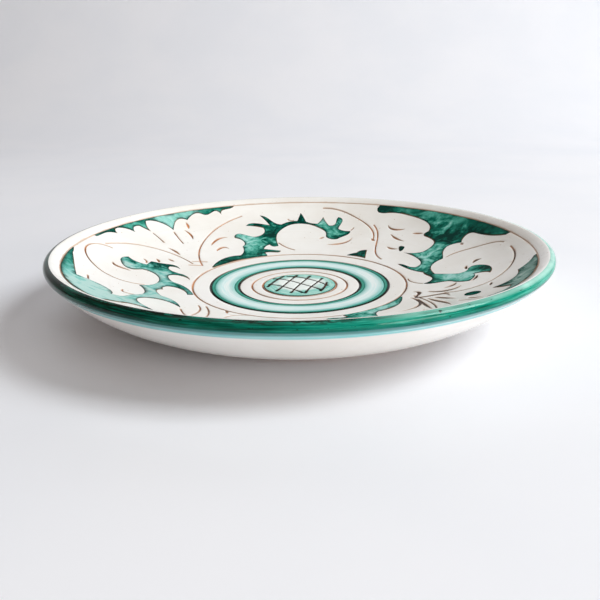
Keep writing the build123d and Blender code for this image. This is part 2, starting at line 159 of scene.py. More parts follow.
def loops_of(tris):
    """The border loops of a set of triangles, each a list of vertex numbers."""
    edges = np.concatenate([tris[:, [0, 1]], tris[:, [1, 2]], tris[:, [2, 0]]])
    have = set(map(tuple, edges.tolist()))
    follow = {}
    for a, b in edges.tolist():
        if (b, a) not in have:
            follow.setdefault(a, []).append(b)
    loops = []
    while follow:
        start = next(iter(follow))
        loop = [start]
        here = start
        while True:
            nexts = follow[here]
            step = nexts.pop()
            if not nexts:
                del follow[here]
            if step == start:
                break
            loop.append(step)
            here = step
            if here not in follow:
                break
        if len(loop) > SHORTEST_LOOP:
            loops.append(loop)
    return loops


def thin_out(points, gap):
    """Drops loop points closer together than gap, but keeps every corner."""
    n = len(points)
    before = points - np.roll(points, 1, axis=0)
    after = np.roll(points, -1, axis=0) - points
    cross = before[:, 0] * after[:, 1] - before[:, 1] * after[:, 0]
    dot = (before * after).sum(1)
    turn = np.abs(np.degrees(np.arctan2(cross, dot)))
    keep = [0]
    for i in range(1, n):
        far = np.linalg.norm(points[i] - points[keep[-1]])
        if far < CLOSEST:
            continue
        if far > gap or turn[i] > CORNER_DEG:
            keep.append(i)
    if len(keep) > 3 and np.linalg.norm(points[keep[-1]] - points[0]) < CLOSEST:
        keep.pop()
    return points[keep]


def subdivide(points, gap):
    """Adds points on long straight runs of a loop."""
    out = []
    n = len(points)
    for i in range(n):
        a, b = points[i], points[(i + 1) % n]
        parts = max(1, int(math.ceil(np.linalg.norm(b - a) / gap)))
        for k in range(parts):
            out.append(a + (b - a) * (k / parts))
    return np.array(out)


def hex_grid(low, high, gap):
    """Points of a triangular grid over a rectangle."""
    rows = []
    y = low[1]
    odd = False
    while y < high[1]:
        xs = np.arange(low[0] + (gap / 2 if odd else 0), high[0], gap)
        rows.append(np.column_stack([xs, np.full(len(xs), y)]))
        y += gap * math.sqrt(3) / 2
        odd = not odd
    return np.concatenate(rows)


def nearest(points, targets):
    """The distance from each point to the closest target."""
    tree = KDTree(len(targets))
    for i, p in enumerate(targets):
        tree.insert((p[0], p[1], 0), i)
    tree.balance()
    return np.array([tree.find((p[0], p[1], 0))[2] for p in points])


def beside(ring, offsets):
    """Rows of points on both sides of a loop, at each of the offsets."""
    along = np.roll(ring, -1, axis=0) - np.roll(ring, 1, axis=0)
    along /= np.maximum(np.linalg.norm(along, axis=1, keepdims=True), 1e-9)
    side = np.column_stack([-along[:, 1], along[:, 0]])
    rows = []
    for off in offsets:
        rows.append(ring + side * off)
        rows.append(ring - side * off)
    return rows


def uncrowded(points, cell):
    """The first point in each square cell, so that none crowd each other at corners."""
    first = {}
    for i, p in enumerate(points):
        first.setdefault((round(p[0] / cell), round(p[1] / cell)), i)
    return points[sorted(first.values())]


def triangulate(points, loops):
    """Triangles over the points, which begin with those of the loops; the loops are kept as edges."""
    fixed = []
    start = 0
    for ring in loops:
        n = len(ring)
        fixed += [(start + i, start + (i + 1) % n) for i in range(n)]
        start += n
    out = delaunay_2d_cdt([Vector(p) for p in points], fixed, [], 0, 1e-5)
    return np.array([(v.x, v.y) for v in out[0]]), np.array(out[2], int)


def face_up(flat, faces, inside):
    """Drops slivers and the triangles outside the outline, and turns the rest to face up."""
    a, b, c = flat[faces[:, 0]], flat[faces[:, 1]], flat[faces[:, 2]]
    area = (b[:, 0] - a[:, 0]) * (c[:, 1] - a[:, 1]) - (b[:, 1] - a[:, 1]) * (c[:, 0] - a[:, 0])
    keep = inside(flat[faces].mean(1)) & (np.abs(area) > SLIVER)
    faces = faces[keep]
    flip = area[keep] < 0
    faces[flip] = faces[flip][:, ::-1]
    return faces


def drop_unused(flat, faces):
    """Leaves out the points that no triangle uses."""
    used = np.unique(faces)
    remap = np.full(len(flat), -1)
    remap[used] = np.arange(len(used))
    return flat[used], remap[faces]


def sheet_from(node, gap, edge_gap, offsets, keep_out):
    """A plan triangulation of a CAD layer: points, triangles and distance to the edge, in mm.

    Points lie gap apart inside and edge_gap apart along the outline, with rows that follow the outline
    at each of the offsets; the inner points keep out of the strip along the edge.
    """
    co, tris = top_of(node)
    tree = BVHTree.FromPolygons([tuple(p[:2]) + (0.0,) for p in co], tris.tolist())

    def inside(points):
        out = np.zeros(len(points), bool)
        for i, p in enumerate(points):
            hit = tree.ray_cast(Vector((p[0], p[1], ABOVE_ALL)), Vector((0, 0, -1)))
            out[i] = hit[0] is not None
        return out

    loops = []
    for loop in loops_of(tris):
        ring = thin_out(co[loop][:, :2], edge_gap)
        if len(ring) >= SHORTEST_LOOP:
            loops.append(subdivide(ring, edge_gap * 1.3))
    edge = np.concatenate(loops)
    dense = np.concatenate([subdivide(ring, EDGE_SAMPLE) for ring in loops])

    rows = np.concatenate([row for ring in loops for row in beside(ring, offsets)])
    rows = rows[inside(rows)]
    near = nearest(rows, dense)
    clear = np.zeros(len(rows), bool)
    for off in offsets:
        clear |= np.abs(near - off) < ROW_SLACK * off
    rows = uncrowded(rows[clear], CROWDED * edge_gap)

    grid = hex_grid(edge.min(0), edge.max(0), gap)
    grid = grid + rng.uniform(-JITTER, JITTER, grid.shape) * gap
    grid = grid[inside(grid)]
    grid = grid[nearest(grid, dense) > keep_out]

    flat, faces = triangulate(np.concatenate([edge, rows, grid]), loops)
    flat, faces = drop_unused(flat, face_up(flat, faces, inside))
    dist = nearest(flat, dense)
    for loop in loops_of(faces):
        dist[loop] = 0
    return flat, faces, dist


def border_edges(faces):
    """The edges that belong to one triangle only."""
    edges = np.concatenate([faces[:, [0, 1]], faces[:, [1, 2]], faces[:, [2, 0]]])
    have = set(map(tuple, edges.tolist()))
    return [e for e in map(tuple, edges.tolist()) if (e[1], e[0]) not in have]


def new_object(name, co, faces, attributes=()):
    """A mesh object from points in mm."""
    mesh = bpy.data.meshes.new(name)
    mesh.from_pydata((np.asarray(co) * MM).tolist(), [], [list(map(int, f)) for f in faces])
    for key, values in attributes:
        layer = mesh.attributes.new(key, "FLOAT", "POINT")
        layer.data.foreach_set("value", np.asarray(values, np.float32))
    mesh.validate()
    for p in mesh.polygons:
        p.use_smooth = True
    mesh.update()
    ob = bpy.data.objects.new(name, mesh)
    bpy.context.scene.collection.objects.link(ob)
    return ob


def closed_coat(name, flat, faces, top_lift, low_lift, attributes):
    """A thin closed solid: the top follows top_lift, the underside lies at low_lift."""
    n = len(flat)
    top = on_face(flat, top_lift)
    low = on_face(flat, np.full(n, low_lift))
    walls = []
    for a, b in border_edges(faces):
        walls.append((a, a + n, b + n, b))
    under = faces[:, ::-1] + n
    all_faces = faces.tolist() + under.tolist() + walls
    both = [(key, np.concatenate([v, v])) for key, v in attributes]
    ob = new_object(name, np.concatenate([top, low]), all_faces, both)
    ob.data.set_sharp_from_angle(angle=math.radians(SHARP_COAT))
    return ob


# ---------------------------------------------------------------- node helpers for materials
class Mat:
    """A small helper that builds a procedural material node by node."""

    def __init__(self, name):
        self.mat = bpy.data.materials.new(name)
        self.mat.use_nodes = True
        self.tree = self.mat.node_tree
        self.bsdf = self.tree.nodes["Principled BSDF"]
        self.place = self.add("ShaderNodeTexCoord").outputs["Object"]

    def add(self, kind, **values):
        node = self.tree.nodes.new(kind)
        for key, value in values.items():
            setattr(node, key, value)
        return node

    def link(self, out, socket):
        self.tree.links.new(out, socket)

    def put(self, socket, value):
        if isinstance(value, bpy.types.NodeSocket):
            self.link(value, socket)
        else:
            socket.default_value = value

    def math(self, op, a, b=0.0, clamp=False):
        node = self.add("ShaderNodeMath", operation=op, use_clamp=clamp)
        self.put(node.inputs[0], a)
        self.put(node.inputs[1], b)
        return node.outputs[0]

    def noise(self, scale, detail=3.0, rough=0.55, place=None, distortion=0.0):
        node = self.add("ShaderNodeTexNoise")
        self.link(place or self.place, node.inputs["Vector"])
        node.inputs["Scale"].default_value = scale
        node.inputs["Detail"].default_value = detail
        node.inputs["Roughness"].default_value = rough
        node.inputs["Distortion"].default_value = distortion
        return node.outputs["Fac"]

    def range(self, value, low, high, to_low=0.0, to_high=1.0):
        node = self.add("ShaderNodeMapRange")
        node.interpolation_type = "SMOOTHSTEP"
        self.put(node.inputs["Value"], value)
        node.inputs["From Min"].default_value = low
        node.inputs["From Max"].default_value = high
        node.inputs["To Min"].default_value = to_low
        node.inputs["To Max"].default_value = to_high
        return node.outputs["Result"]

    def mix(self, factor, a, b):
        node = self.add("ShaderNodeMix", data_type="RGBA")
        self.put(node.inputs[0], factor)
        self.put(node.inputs[6], a if isinstance(a, bpy.types.NodeSocket) else (*a, 1.0))
        self.put(node.inputs[7], b if isinstance(b, bpy.types.NodeSocket) else (*b, 1.0))
        return node.outputs[2]

    def ramp(self, value, stops):
        node = self.add("ShaderNodeValToRGB")
        self.link(value, node.inputs["Fac"])
        bits = node.color_ramp.elements
        while len(bits) < len(stops):
            bits.new(0.5)
        for bit, (at, colour) in zip(bits, stops):
            bit.position = at
            bit.color = (*colour, 1.0)
        return node.outputs["Color"]

    def attr(self, name):
        node = self.add("ShaderNodeAttribute", attribute_name=name)
        return node.outputs["Fac"]

    def axes(self):
        """The x, y and z of the shaded point, in metres."""
        split = self.add("ShaderNodeSeparateXYZ")
        self.link(self.place, split.inputs[0])
        return split.outputs

    def radius(self):
        """The distance from the plate's axis, in metres."""
        xyz = self.axes()
        x2 = self.math("MULTIPLY", xyz[0], xyz[0])
        y2 = self.math("MULTIPLY", xyz[1], xyz[1])
        return self.math("SQRT", self.math("ADD", x2, y2))

    def in_grid(self, r):
        """One over the grid in the middle."""
        return self.math("LESS_THAN", r, (MEDALLION_R - 0.6) * MM)

    def by_band(self, r, reach):
        """One within reach, in mm, of the two lines beside the green bands."""
        near = []
        for radius in BAND_LINES:
            far = self.math("ABSOLUTE", self.math("SUBTRACT", r, radius * MM))
            near.append(self.math("LESS_THAN", far, reach * MM))
        return self.math("MAXIMUM", near[0], near[1])

    def inked(self, r, reach):
        """One beside every line that the dark glaze ran into."""
        return self.math("MAXIMUM", self.in_grid(r), self.by_band(r, reach))

    def round_place(self, around, across, upright=False):
        """Coordinates that run round the plate, for streaks that follow the wheel."""
        xyz = self.axes()
        angle = self.math("ARCTAN2", xyz[1], xyz[0])
        join = self.add("ShaderNodeCombineXYZ")
        self.link(self.math("MULTIPLY", self.math("COSINE", angle), around), join.inputs[0])
        self.link(self.math("MULTIPLY", self.math("SINE", angle), around), join.inputs[1])
        along = xyz[2]
        if not upright:
            along = self.math("ADD", self.radius(), self.math("MULTIPLY", xyz[2], 0.7))
        self.link(self.math("MULTIPLY", along, across), join.inputs[2])
        return join.outputs[0]

    def bump(self, height, distance, strength=1.0):
        node = self.add("ShaderNodeBump")
        node.inputs["Distance"].default_value = distance
        node.inputs["Strength"].default_value = strength
        self.link(height, node.inputs["Height"])
        self.link(node.outputs["Normal"], self.bsdf.inputs["Normal"])

    def finish(self, colour, rough, coat=0.0, spec=0.5):
        self.put(self.bsdf.inputs["Base Color"], colour)
        self.put(self.bsdf.inputs["Roughness"], rough)
        self.bsdf.inputs["Coat Weight"].default_value = coat
        self.bsdf.inputs["Coat Roughness"].default_value = 0.06
        self.bsdf.inputs["IOR"].default_value = 1.5
        self.bsdf.inputs["Specular IOR Level"].default_value = spec
        return self.mat


def srgb(r, g, b):
    """A colour given as 0-255 display values, in linear light."""
    out = []
    for v in (r, g, b):
        v /= 255
        out.append(v / 12.92 if v <= 0.04045 else ((v + 0.055) / 1.055) ** 2.4)
    return tuple(out)


def glaze_bump(m, strength=0.6):
    """The faint orange-peel and wheel waves of a fired glaze."""
    peel = m.noise(260.0, 2.0, 0.5)
    wave = m.noise(1.0, 2.0, 0.5, place=m.round_place(0.6, 420.0))
    both = m.math("ADD", m.math("MULTIPLY", peel, 0.35), m.math("MULTIPLY", wave, 0.65))
    m.bump(both, 0.00012, strength)


def white_slip(name, with_edges):
    """White slip under clear glaze; with edges, it is stained and inked beside the cut lines."""
    m = Mat(name)
    cloud = m.noise(28.0, 4.0, 0.6)
    colour = m.mix(m.range(cloud, 0.35, 0.7), srgb(247, 245, 241), srgb(241, 237, 231))
    streak = m.noise(1.4, 3.0, 0.6, place=m.round_place(1.2, 260.0))
    colour = m.mix(m.range(streak, 0.52, 0.8, 0.0, 0.3), colour, srgb(236, 231, 222))
    if with_edges:
        speck = m.noise(620.0, 1.0, 0.5)
        colour = m.mix(m.range(speck, 0.76, 0.79), colour, srgb(196, 178, 160))
        edge = m.attr("edge_mm")
        stain = m.noise(85.0, 3.0, 0.6)
        reach = m.math("MULTIPLY", m.range(stain, 0.35, 0.7, 0.15, 1.0), 0.75)
        near = m.math("SUBTRACT", 1.0, m.math("DIVIDE", edge, reach), clamp=True)
        colour = m.mix(m.math("MULTIPLY", near, 0.6), colour, srgb(206, 166, 132))
        ink = m.math("MULTIPLY", m.inked(m.radius(), 1.1), m.math("LESS_THAN", edge, 0.22))
        ink = m.math("MULTIPLY", ink, m.range(m.axes()[1], 0.0, 0.04, 0.95, 0.35))
        colour = m.mix(ink, colour, srgb(18, 26, 20))
    glaze_bump(m, 0.5)
    return m.finish(colour, m.range(cloud, 0.3, 0.7, 0.12, 0.2), coat=0.1, spec=0.1)


def bare_clay():
    """Terracotta; where it shows in the lines it is glazed over, dark beside the green bands."""
    m = Mat("bare_clay")
    grain = m.noise(900.0, 3.0, 0.6)
    cloud = m.noise(60.0, 4.0, 0.6)
    clay = m.mix(m.range(grain, 0.3, 0.7), srgb(190, 132, 100), srgb(160, 104, 76))
    clay = m.mix(m.range(cloud, 0.4, 0.75, 0.0, 0.5), clay, srgb(205, 156, 124))
    line = m.mix(m.range(m.noise(75.0, 3.0, 0.65), 0.36, 0.64), srgb(214, 146, 94), srgb(128, 76, 46))
    r = m.radius()
    xyz = m.axes()
    # the front right of the drawing and the grid in the middle were cut deeper and fired darker
    corner = m.math("SUBTRACT", m.math("MULTIPLY", xyz[0], 0.7), m.math("MULTIPLY", xyz[1], 0.7))
    corner = m.math("MULTIPLY", m.range(corner, 0.035, 0.06), m.math("LESS_THAN", r, 120 * MM))
    line = m.mix(m.math("MULTIPLY", corner, 0.9), line, srgb(44, 22, 14))
    line = m.mix(m.math("MULTIPLY", m.in_grid(r), 0.9), line, srgb(46, 32, 22))
    # beside the green bands the glaze ran into the line: black in front, green behind
    ran = m.mix(m.range(xyz[1], 0.0, 0.035), srgb(8, 16, 12), srgb(62, 132, 116))
    broken = m.range(m.noise(45.0, 3.0, 0.6), 0.36, 0.5, 0.85, 1.0)
    line = m.mix(m.math("MULTIPLY", m.by_band(r, 1.2), broken), line, ran)
    # the rim line is shallow and nearly filled with slip
    shallow = m.math("GREATER_THAN", r, (RIM_LINE_R - 1.5) * MM)
    shallow = m.math("MULTIPLY", shallow, m.range(m.noise(18.0, 3.0, 0.6), 0.35, 0.6, 0.45, 0.85))
    line = m.mix(shallow, line, srgb(240, 224, 208))
    inside = m.math("GREATER_THAN", xyz[2], (FLOOR_Z - 1.2) * MM)
    inside = m.math("MULTIPLY", inside, m.math("LESS_THAN", r, (CREST_R - 1.5) * MM))
    colour = m.mix(inside, clay, line)
    m.bump(grain, 0.0001, 0.6)
    rough = m.math("SUBTRACT", 0.85, m.math("MULTIPLY", inside, 0.65))
    return m.finish(colour, rough, spec=0.05)


def leaf_glaze(name, dark, mid, light, wash, pooled):
    """Brushed copper glaze: dark where it pools at the edges, pale where it runs thin."""
    m = Mat(name)
    edge = m.attr("edge_mm")
    tone = m.attr("tone")
    stroke = m.noise(95.0, 4.0, 0.62, distortion=1.6)
    fine = m.noise(300.0, 3.0, 0.6, distortion=0.8)
    # along the rim it was laid on in one smooth stroke
    calm = m.range(m.radius(), (RIM_LINE_R - 7.5) * MM, (RIM_LINE_R - 3.5) * MM)
    mixed = m.math("MULTIPLY", m.math("SUBTRACT", stroke, 0.5), 1.9)
    mixed = m.math("ADD", mixed, m.math("MULTIPLY", m.math("SUBTRACT", fine, 0.5), 0.5))
    mixed = m.math("MULTIPLY", mixed, m.range(calm, 0.0, 1.0, 1.0, 0.4))
    mixed = m.math("ADD", tone, mixed, clamp=True)
    colour = m.ramp(mixed, [(0.14, dark), (0.42, mid), (0.66, light), (0.95, wash)])
    pool = m.noise(115.0, 3.0, 0.6)
    width = m.range(pool, 0.3, 0.7, 0.6, 3.0)
    rim = m.math("SUBTRACT", 1.0, m.math("DIVIDE", edge, width), clamp=True)
    colour = m.mix(m.math("MULTIPLY", rim, m.range(pool, 0.3, 0.6, 0.6, 1.0)), colour, pooled)
    outline = m.math("SUBTRACT", 1.0, m.math("DIVIDE", edge, 0.75), clamp=True)
    brown = m.range(m.noise(60.0, 2.0, 0.5), 0.48, 0.58)
    ink = m.mix(brown, srgb(12, 44, 36), srgb(128, 84, 54))
    colour = m.mix(m.math("MULTIPLY", outline, 0.85), colour, ink)
    peel = m.noise(200.0, 2.0, 0.5)
    m.bump(m.math("ADD", m.math("MULTIPLY", peel, 0.4), m.math("MULTIPLY", stroke, 0.8)), 0.00022, 0.6)
    return m.finish(colour, m.range(stroke, 0.3, 0.7, 0.09, 0.16), coat=0.08, spec=0.0)


def band_glaze(name, body, thin, deep, deep_from, bare_middle):
    """A banding brush's glaze, streaked round the wheel and deeper near its edges."""
    m = Mat(name)
    streak = m.noise(1.6, 4.0, 0.6, place=m.round_place(1.6, 520.0))
    cloud = m.noise(40.0, 3.0, 0.6)
    colour = m.mix(m.range(streak, 0.3, 0.7), body, thin)
    colour = m.mix(m.range(cloud, 0.5, 0.75, 0.0, 0.5), colour, thin)
    edge = m.attr("edge_mm")
    near = m.math("SUBTRACT", 1.0, m.math("DIVIDE", edge, deep_from), clamp=True)
    colour = m.mix(m.math("MULTIPLY", near, m.range(cloud, 0.3, 0.6, 0.45, 0.95)), colour, deep)
    ink = m.math("MULTIPLY", m.inked(m.radius(), 0.85), m.math("LESS_THAN", edge, 0.3))
    colour = m.mix(m.math("MULTIPLY", ink, 0.85), colour, srgb(20, 34, 26))
    if bare_middle:
        # the wash was dabbed round the border and hardly reaches the middle
        uneven = m.math("SUBTRACT", m.noise(90.0, 2.0, 0.5), 0.5)
        dab = m.math("ADD", m.radius(), m.math("MULTIPLY", uneven, 0.016))
        dab = m.math("SUBTRACT", dab, m.math("MULTIPLY", m.axes()[1], 0.12))
        colour = m.mix(m.range(dab, 0.009, 0.0165, 1.0, 0.0), colour, srgb(240, 246, 242))
    glaze_bump(m, 0.5)
    return m.finish(colour, 0.11, coat=0.08, spec=0.0)


def rim_green():
    """The thick green glaze over the lip, streaked round the wheel, with painted shade at the left and a
    painted highlight on the crest at the right.
    """
    m = Mat("rim_green")
    streak = m.noise(2.6, 5.0, 0.65, place=m.round_place(3.0, 620.0, True))
    patch = m.noise(24.0, 4.0, 0.6)
    mixed = m.math("ADD", m.math("MULTIPLY", streak, 0.65), m.math("MULTIPLY", patch, 0.35))
    xyz = m.axes()
    # painted light and shade: the glaze is darker at the left and brighter at the right, where the lamp
    # falls
    mixed = m.math("ADD", mixed, m.range(xyz[0], -0.12, 0.12, -0.14, 0.1))
    stops = [(0.30, srgb(0, 34, 28)), (0.42, srgb(2, 88, 70)), (0.56, srgb(14, 136, 114)),
             (0.72, srgb(70, 178, 156))]
    colour = m.ramp(mixed, stops)
    # on the crest at the right a painted highlight: pale mint stands for the lamp's reflection; at the left
    # the glaze broke into dark flecks
    crest = m.range(xyz[2], (HEIGHT - 1.6) * MM, (HEIGHT - 0.1) * MM)
    thin = m.math("MULTIPLY", m.range(xyz[0], 0.02, 0.06), m.range(patch, 0.4, 0.6, 0.35, 0.85))
    # the pale mint mixed in here is a painted highlight, not thin glaze
    colour = m.mix(m.math("MULTIPLY", crest, thin), colour, srgb(176, 226, 212))
    fleck = m.noise(1.0, 4.0, 0.7, place=m.round_place(9.0, 900.0, True))
    fleck = m.range(fleck, 0.48, 0.56, 0.0, 0.95)
    flecked = m.math("MULTIPLY", crest, m.range(xyz[0], 0.0, 0.05, 1.0, 0.0))
    colour = m.mix(m.math("MULTIPLY", flecked, fleck), colour, srgb(12, 22, 12))
    spot = m.noise(1.0, 2.0, 0.6, place=m.round_place(34.0, 900.0, True))
    colour = m.mix(m.range(spot, 0.66, 0.72, 0.0, 0.9), colour, srgb(16, 30, 18))
    low_line = m.range(xyz[2], (HEIGHT - 4.1) * MM, (HEIGHT - 2.6) * MM, 1.0, 0.0)
    colour = m.mix(m.math("MULTIPLY", low_line, 0.6), colour, srgb(6, 92, 88))
    glaze_bump(m, 0.8)
    return m.finish(colour, m.range(streak, 0.3, 0.7, 0.08, 0.15), coat=0.15, spec=0.1)


def under_wash():
    """The thin aqua wash under the lip, darker at its top and paler where it ends."""
    m = Mat("under_rim_aqua")
    streak = m.noise(1.5, 3.0, 0.6, place=m.round_place(2.0, 900.0, True))
    colour = m.mix(m.range(streak, 0.35, 0.65), srgb(112, 202, 204), srgb(172, 222, 224))
    z = m.axes()[2]
    top = m.range(z, (HEIGHT - 6.4) * MM, (HEIGHT - 4.9) * MM)
    colour = m.mix(m.math("MULTIPLY", top, 0.8), colour, srgb(14, 108, 106))
    low = m.range(z, (HEIGHT - WASH_DROP) * MM, (HEIGHT - WASH_DROP + 0.6) * MM, 1.0, 0.0)
    colour = m.mix(m.math("MULTIPLY", low, 0.5), colour, srgb(206, 230, 230))
    glaze_bump(m, 0.5)
    return m.finish(colour, 0.11, coat=0.3)


# ---------------------------------------------------------------- turned pieces
AROUND = 512
SHARP_TURNED = 50
SHARP_COAT = 38


def turned(profile, closed=True):
    """Points and faces of a turned shape from its profile in mm."""
    pts = np.array(profile)
    n = len(pts)
    angle = np.arange(AROUND) * 2 * math.pi / AROUND
    co = np.empty((AROUND, n, 3))
    co[:, :, 0] = np.cos(angle)[:, None] * pts[None, :, 0]
    co[:, :, 1] = np.sin(angle)[:, None] * pts[None, :, 0]
    co[:, :, 2] = pts[None, :, 1]
    faces = []
    for i in range(AROUND):
        j = (i + 1) % AROUND
        for k in range(n if closed else n - 1):
            m = (k + 1) % n
            faces.append((i * n + k, j * n + k, j * n + m, i * n + m))
    return co.reshape(-1, 3), faces


def arc(centre, radius, start, end, steps):
    """Profile points along an arc, both ends included."""
    t = np.linspace(start, end, steps)
    return [(centre[0] + radius * math.cos(a), centre[1] + radius * math.sin(a)) for a in t]


def face_profile(lift):
    """The inside of the plate from the axis to the crest, lifted off the finished face."""
    r = np.concatenate([np.linspace(0.0, BEND_R, 30), np.linspace(BEND_R, LIP_START_R, 22)[1:]])
    z, nz = face_z(r)
    nr = -np.sqrt(1 - nz * nz)
    out = [(a + lift * b, c + lift * d) for a, b, c, d in zip(r, nr, z, nz)]
    begin = math.pi - math.acos(min(1.0, (CREST_R - LIP_START_R) / LIP_R))
    out += arc(LIP_C, LIP_R + lift, begin, math.pi / 2, 12)[1:]
    return out


def close_centre(pts):
    """A turned shape whose profile begins and ends on the axis."""
    body = pts[1:-1]
    co, faces = turned(body, closed=False)
    n = len(body)
    base = len(co)
    co = np.concatenate([co, [[0, 0, pts[0][1]], [0, 0, pts[-1][1]]]])
    for i in range(AROUND):
        j = (i + 1) % AROUND
        faces.append((base, j * n, i * n))
        faces.append((base + 1, i * n + n - 1, j * n + n - 1))
    return co, faces


def fix_normals(ob):
    """Turns every face of a closed mesh outwards."""
    bm = bmesh.new()
    bm.from_mesh(ob.data)
    bmesh.ops.recalc_face_normals(bm, faces=bm.faces[:])
    bm.to_mesh(ob.data)
    bm.free()
    ob.data.update()
    return ob


def make_clay():
    """The bare thrown body: face and underside less the slip, lip, foot ring and recess."""
    lip = LIP_R - SLIP
    pts = face_profile(-SLIP)
    pts += arc(LIP_C, lip, math.pi / 2, UNDER_END, 20)[1:]
    pts += arc(UNDER_C, UNDER_CURVE - SLIP, UNDER_END, UNDER_START - math.pi / 2, 26)[1:]
    inner = FOOT_R - FOOT_W
    pts += [(FOOT_R, FOOT_H), (FOOT_R - 0.35, 2.2), (FOOT_R - 0.8, 0.9), (FOOT_R - 1.1, 0.35)]
    pts += [(FOOT_R - 1.7, 0.0), (inner + 1.7, 0.0)]
    pts += [(inner + 1.1, 0.35), (inner + 0.7, 0.9), (inner + 0.3, 2.3), (inner, RECESS)]
    # faint turning rings across the recessed base
    for k, r in enumerate(np.linspace(inner - 1.0, 2.0, 46)):
        pts.append((r, RECESS + (0.10 if k % 2 else 0.0)))
    pts.append((0.0, RECESS))
    pts[0] = (0.0, pts[0][1])
    co, faces = close_centre(pts)
    ob = fix_normals(new_object("thrown_clay_body", co, faces))
    ob.data.set_sharp_from_angle(angle=math.radians(SHARP_TURNED))
    return ob


def make_band(name, outer, inner):
    """A closed ring from its outer and inner profile lines, both in the same order."""
    co, faces = turned(outer + inner[::-1])
    ob = fix_normals(new_object(name, co, faces))
    ob.data.set_sharp_from_angle(angle=math.radians(SHARP_TURNED))
    return ob


def show(ob, material, node):
    """Gives a piece its material and puts it in place of its CAD layer."""
    ob.data.materials.clear()
    ob.data.materials.append(material)
    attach(ob, "root")
    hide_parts(node)
    return ob


show(make_clay(), bare_clay(), "clay_body")



def rim_line(depth):
    return arc(LIP_C, LIP_R - depth, math.pi / 2, GLAZE_END, 24)


def wash_line(depth):
    on_lip = arc(LIP_C, LIP_R - depth, GLAZE_END, UNDER_END, 8)
    return on_lip + arc(UNDER_C, UNDER_CURVE - depth, UNDER_END, WASH_END, 8)[1:]


def back_line(depth):
    return arc(UNDER_C, UNDER_CURVE - depth, WASH_END, UNDER_START - math.pi / 2, 40)


rim = make_band("green_rim_glaze", rim_line(0.0), rim_line(SLIP))
show(rim, rim_green(), "rim_glaze")
wash = make_band("aqua_under_rim_wash", wash_line(0.0), wash_line(SLIP))
show(wash, under_wash(), "under_rim_wash")
under = make_band("white_back_slip", back_line(0.0), back_line(SLIP))
show(under, white_slip("white_slip_outside", False), "back_slip")

# ---------------------------------------------------------------- the white face with its cut lines
# Mesh sizes in mm: inner gap, gap along the edge, rows beside the edge, strip kept free of inner points.
SLIP_MESH = (2.4, 1.1, (0.35, 0.9), 1.5)
LEAF_MESH = (1.1, 0.8, (0.35, 0.8), 1.1)
BAND_MESH = (1.6, 0.9, (0.35, 0.8), 1.1)
SLIP_SAG = 0.16

flat, faces, dist = sheet_from("face_slip", *SLIP_MESH)
# the crest is not a cut edge, so it is neither rounded nor stained
dist[np.hypot(flat[:, 0], flat[:, 1]) > CREST_R - 0.4] = 3.0
soft = -SLIP_SAG * np.exp(-((dist / 0.3) ** 2))
slip = closed_coat("white_face_slip", flat, faces, soft, -SLIP, [("edge_mm", dist)])
show(slip, white_slip("white_slip_face", True), "face_slip")

# ---------------------------------------------------------------- painted glazes
FAR_IN = 9.0
LEAF_COAT = 0.29
BAND_COAT = 0.28

leaf_green = leaf_glaze("leaf_green", dark=srgb(4, 56, 48), mid=srgb(20, 114, 96),
                        light=srgb(88, 178, 160), wash=srgb(164, 218, 210), pooled=srgb(4, 46, 38))
leaf_aqua = leaf_glaze("leaf_aqua", dark=srgb(6, 70, 60), mid=srgb(52, 142, 126), light=srgb(122, 190, 182),
                       wash=srgb(176, 208, 202), pooled=srgb(8, 62, 54))
spray_grey = leaf_glaze("spray_grey_green", dark=srgb(30, 66, 58), mid=srgb(92, 134, 124),
                        light=srgb(150, 180, 172), wash=srgb(198, 212, 206), pooled=srgb(34, 70, 62))

# Where each leaf is painted thick (low) or thin (high): x, y, reach in mm, and how far the tone moves.
POOLS = {
    "back_leaf": [(-34, 80, 10, 0.35), (-30, 68, 8, 0.22), (-17, 86, 9, -0.35), (-28, 70, 5, -0.2),
                  (-20, 96, 8, -0.15), (0, 107, 12, -0.3), (17, 104, 5, 0.35), (23, 92, 7, 0.2),
                  (28, 86, 8, -0.15), (-46, 46, 12, -0.35), (-22, 62, 8, -0.2), (-32, 101, 8, -0.25)],
    "front_leaf": [(40, -54, 16, 0.3), (34, -80, 10, 0.3), (17, -86, 9, -0.35), (0, -107, 12, -0.3),
                   (30, -55, 12, 0.1)],
    "right_leaf": [(75, 30, 9, 0.3), (76, 18, 7, 0.35), (84, 42, 9, 0.25), (86, 66, 6, -0.3),
                   (98, 50, 9, -0.35), (96, 66, 6, 0.1), (112, 38, 8, -0.25), (92, 84, 8, 0.3),
                   (104, 66, 6, 0.2), (78, 99, 8, 0.1), (60, 110, 8, -0.4), (75, 2, 8, -0.15),
                   (86, -14, 10, 0.5), (94, -18, 6, 0.35), (102, -12, 5, -0.3), (62, 25, 7, -0.3),
                   (70, -12, 4, -0.3)],
    "left_leaf": [(-86, 21, 9, -0.5), (-99, 17, 6, -0.4), (-100, 9, 5, 0.35), (-66, 9, 8, -0.4),
                  (-74, 22, 6, -0.45),
                  (-79, 2, 8, 0.2), (-79, -14, 8, 0.15), (-80, -30, 10, 0.25), (-64, -15, 8, -0.3),
                  (-126, -6, 12, -0.35), (-120, -26, 11, -0.2), (-98, -52, 16, 0.4), (-88, -78, 20, 0.3),
                  (-66, -42, 9, 0.2)],
    "back_spray": [(-55, 111, 8, -0.15), (-75, 100, 10, 0.3), (-92, 86, 12, 0.35), (-104, 68, 8, -0.1),
                   (-110, 60, 8, 0.05), (-117, 47, 7, -0.2), (-122, 34, 8, 0.15), (-66, 104, 8, -0.15)],
    "front_spray": [(115, -42, 10, 0.1), (95, -58, 5, -0.5), (103, -64, 14, 0.15)],
    "leaf_bud": [(38, 56, 6, -0.2)],
    "leaf_touch": [(66, 54, 6, -0.4)],
    "berry": [(84, -54, 6, -0.1)],
}
